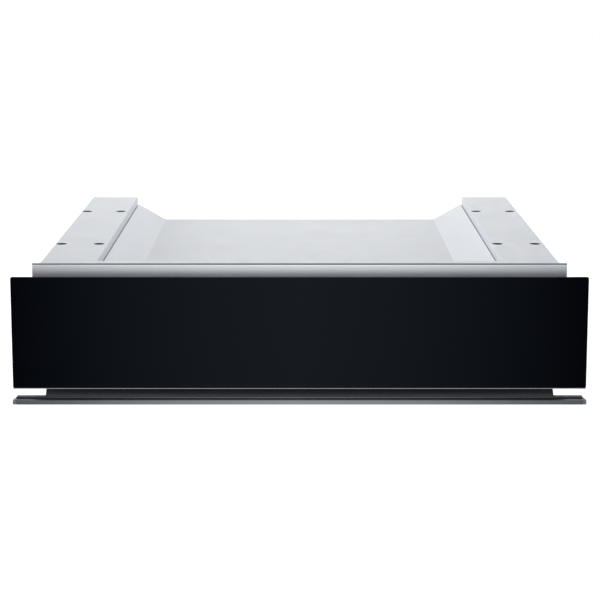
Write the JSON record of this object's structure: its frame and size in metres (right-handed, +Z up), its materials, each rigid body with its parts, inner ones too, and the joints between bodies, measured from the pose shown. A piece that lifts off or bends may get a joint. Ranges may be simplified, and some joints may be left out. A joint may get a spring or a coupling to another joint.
{
  "type": "built in warming drawer",
  "caption": "Built-in electric warming drawer with a black glass front, a sheet steel case with raised support rails on top and a drawer on ball runners above a slim lower trim.",
  "frame": {"origin": "on the floor plane under the feet, in the middle of the overall width and of the overall depth", "axes": "+X to the right as seen from the front, +Y from the front to the back, +Z up"},
  "size_m": [0.596, 0.55, 0.1455],
  "materials": {
    "galvanised_steel": "fine matt zinc-coated sheet",
    "front_stainless": "brushed along the width",
    "drawer_stainless": "brushed along the width",
    "zinced_steel": "smooth bright zinc",
    "black_glass": "toughened, printed black behind, polished",
    "clear_glass": "toughened, polished",
    "trim_aluminium": "satin anodised",
    "dark_steel": "dark grey powder coat",
    "black_plastic": "fine grain",
    "grey_plastic": "fine grain",
    "white_plastic": "smooth",
    "foot_rubber": "matt",
    "mat_silicone": "matt, fine dimples",
    "heater_steel": "oxidised sheath",
    "circuit_board": "solder resist",
    "indicator_amber": "clear tinted"
  },
  "bodies": {
    "housing": {"bottom_pan": "galvanised_steel", "left_side_wall": "galvanised_steel", "right_side_wall": "galvanised_steel", "top_cover": "galvanised_steel", "left_support_rail": "galvanised_steel", "right_support_rail": "galvanised_steel", "back_panel": "galvanised_steel", "front_bulkhead": "galvanised_steel", "rear_partition": "galvanised_steel", "fan_housing": "galvanised_steel", "front_left_foot": "foot_rubber", "front_right_foot": "foot_rubber", "rear_left_foot": "foot_rubber", "rear_right_foot": "foot_rubber", "cable_bush": "foot_rubber", "front_frame": "front_stainless", "lower_trim_bar": "trim_aluminium", "left_trim_end_cap": "grey_plastic", "right_trim_end_cap": "grey_plastic", "control_fascia": "black_plastic", "mains_loom": "black_plastic", "fan_loom": "black_plastic", "front_loom": "black_plastic", "lower_air_guide": "dark_steel", "left_outer_runner": "zinced_steel", "right_outer_runner": "zinced_steel", "fan_motor": "zinced_steel", "heating_element": "heater_steel", "thermal_limiter": "white_plastic", "terminal_block": "white_plastic", "thermostat_body": "white_plastic", "power_switch_body": "white_plastic", "control_box": "grey_plastic", "control_box_lid": "grey_plastic", "push_latch_body": "grey_plastic", "control_board": "circuit_board", "indicator_lens": "indicator_amber"},
    "drawer": {"glass_front": "black_glass", "grip_profile": "trim_aluminium", "front_carrier": "zinced_steel", "left_inner_runner": "zinced_steel", "right_inner_runner": "zinced_steel", "drawer_front_wall": "drawer_stainless", "left_drawer_wall": "drawer_stainless", "right_drawer_wall": "drawer_stainless", "drawer_base_pan": "drawer_stainless", "drawer_rear_wall": "drawer_stainless", "glass_base_plate": "clear_glass", "anti_slip_mat": "mat_silicone"},
    "left_middle_member": {"left_middle_runner": "zinced_steel"},
    "left_outer_balls": {"left_outer_ball_cage": "zinced_steel"},
    "left_inner_balls": {"left_inner_ball_cage": "zinced_steel"},
    "right_middle_member": {"right_middle_runner": "zinced_steel"},
    "right_outer_balls": {"right_outer_ball_cage": "zinced_steel"},
    "right_inner_balls": {"right_inner_ball_cage": "zinced_steel"},
    "thermostat_knob": {"thermostat_knob": "black_plastic"},
    "power_button": {"power_button": "grey_plastic"},
    "fan": {"fan_shaft": "zinced_steel", "fan_impeller": "zinced_steel"},
    "push_latch_plunger": {"push_latch_plunger": "white_plastic"}
  },
  "joints": [
    {"name": "drawer_slide", "type": "slide", "parent": "housing", "child": "drawer", "axis": [0, -1, 0], "range_m": [0, 0.43]},
    {"name": "left_middle_member_slide", "type": "slide", "parent": "housing", "child": "left_middle_member", "axis": [0, -1, 0], "range_m": [0, 0.215]},
    {"name": "left_outer_balls_slide", "type": "slide", "parent": "housing", "child": "left_outer_balls", "axis": [0, -1, 0], "range_m": [0, 0.1075]},
    {"name": "left_inner_balls_slide", "type": "slide", "parent": "housing", "child": "left_inner_balls", "axis": [0, -1, 0], "range_m": [0, 0.3225]},
    {"name": "right_middle_member_slide", "type": "slide", "parent": "housing", "child": "right_middle_member", "axis": [0, -1, 0], "range_m": [0, 0.215]},
    {"name": "right_outer_balls_slide", "type": "slide", "parent": "housing", "child": "right_outer_balls", "axis": [0, -1, 0], "range_m": [0, 0.1075]},
    {"name": "right_inner_balls_slide", "type": "slide", "parent": "housing", "child": "right_inner_balls", "axis": [0, -1, 0], "range_m": [0, 0.3225]},
    {"name": "thermostat_turn", "type": "hinge", "parent": "housing", "child": "thermostat_knob", "pos_m": [0.2292, -0.26, 0.12125], "axis": [0, 1, 0], "range_deg": [0, 270]},
    {"name": "power_button_press", "type": "slide", "parent": "housing", "child": "power_button", "axis": [0, 1, 0], "range_m": [0, 0.0019], "stiffness_N_per_m": 600, "springref_m": -0.001},
    {"name": "fan_spin", "type": "hinge", "parent": "housing", "child": "fan", "pos_m": [0, 0.205, 0.064], "axis": [0, 1, 0], "continuous": true},
    {"name": "push_latch_press", "type": "slide", "parent": "housing", "child": "push_latch_plunger", "axis": [0, 1, 0], "range_m": [0, 0.0049], "stiffness_N_per_m": 400, "springref_m": -0.002}
  ],
  "couplings": [
    {"joint": "left_middle_member_slide", "follows": "drawer_slide", "ratio": 0.5},
    {"joint": "left_outer_balls_slide", "follows": "drawer_slide", "ratio": 0.25},
    {"joint": "left_inner_balls_slide", "follows": "drawer_slide", "ratio": 0.75},
    {"joint": "right_middle_member_slide", "follows": "drawer_slide", "ratio": 0.5},
    {"joint": "right_outer_balls_slide", "follows": "drawer_slide", "ratio": 0.25},
    {"joint": "right_inner_balls_slide", "follows": "drawer_slide", "ratio": 0.75}
  ]
}
